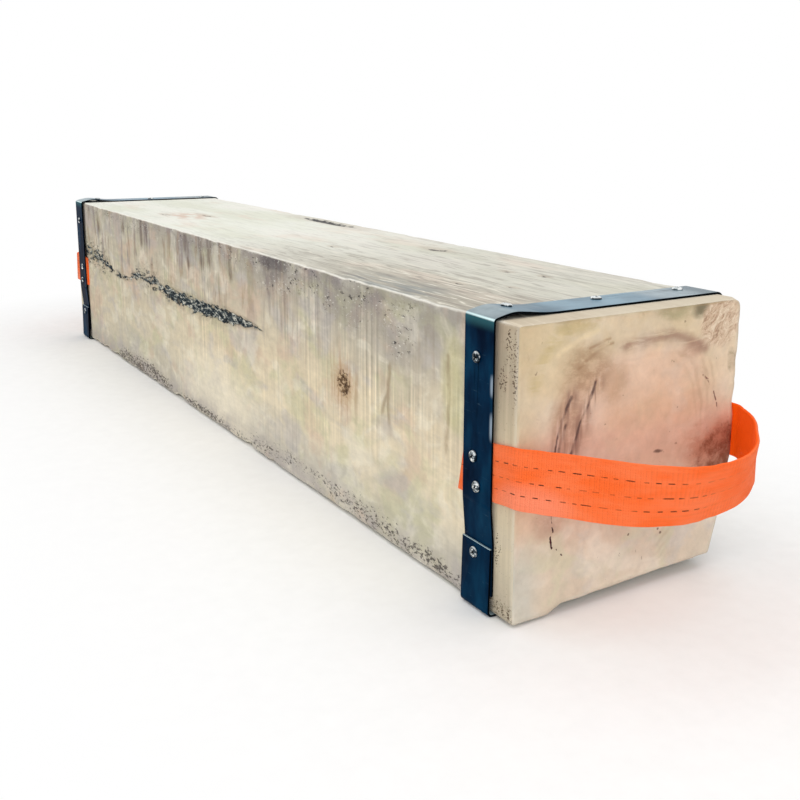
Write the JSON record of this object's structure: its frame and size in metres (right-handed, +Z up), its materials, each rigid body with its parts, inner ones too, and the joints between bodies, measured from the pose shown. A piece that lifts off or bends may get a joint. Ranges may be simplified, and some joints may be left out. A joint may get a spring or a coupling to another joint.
{
  "type": "railway sleeper",
  "caption": "Short squared timber sleeper with its ends bound in flat steel strip and an orange webbing carrying loop screwed down under each band.",
  "frame": {"origin": "on the floor under the middle of the timber", "axes": "+X along the timber towards the end seen in the picture, +Y towards the side hidden in the picture, +Z up"},
  "size_m": [1.552, 0.267, 0.2605],
  "materials": {
    "timber": "rough-sawn, weathered",
    "band_steel": "blue-black lacquered strip",
    "webbing": "woven polyester with black marker threads",
    "screw_zinc": "bright zinc"
  },
  "bodies": {
    "root": {"timber_baulk": "timber", "right_end_band": "band_steel", "left_end_band": "band_steel", "right_handle_strap": "webbing", "left_handle_strap": "webbing", "right_screw_near_upper": "screw_zinc", "right_screw_near_strap_high": "screw_zinc", "right_screw_near_strap_low": "screw_zinc", "right_screw_near_lap": "screw_zinc", "right_screw_top_near": "screw_zinc", "right_screw_top_middle": "screw_zinc", "right_screw_top_far": "screw_zinc", "right_screw_far_upper": "screw_zinc", "right_screw_far_strap_high": "screw_zinc", "right_screw_far_strap_low": "screw_zinc", "left_screw_near_upper": "screw_zinc", "left_screw_near_strap_high": "screw_zinc", "left_screw_near_strap_low": "screw_zinc", "left_screw_near_lap": "screw_zinc", "left_screw_top_near": "screw_zinc", "left_screw_top_middle": "screw_zinc", "left_screw_top_far": "screw_zinc", "left_screw_far_upper": "screw_zinc", "left_screw_far_strap_high": "screw_zinc", "left_screw_far_strap_low": "screw_zinc"}
  },
  "joints": []
}
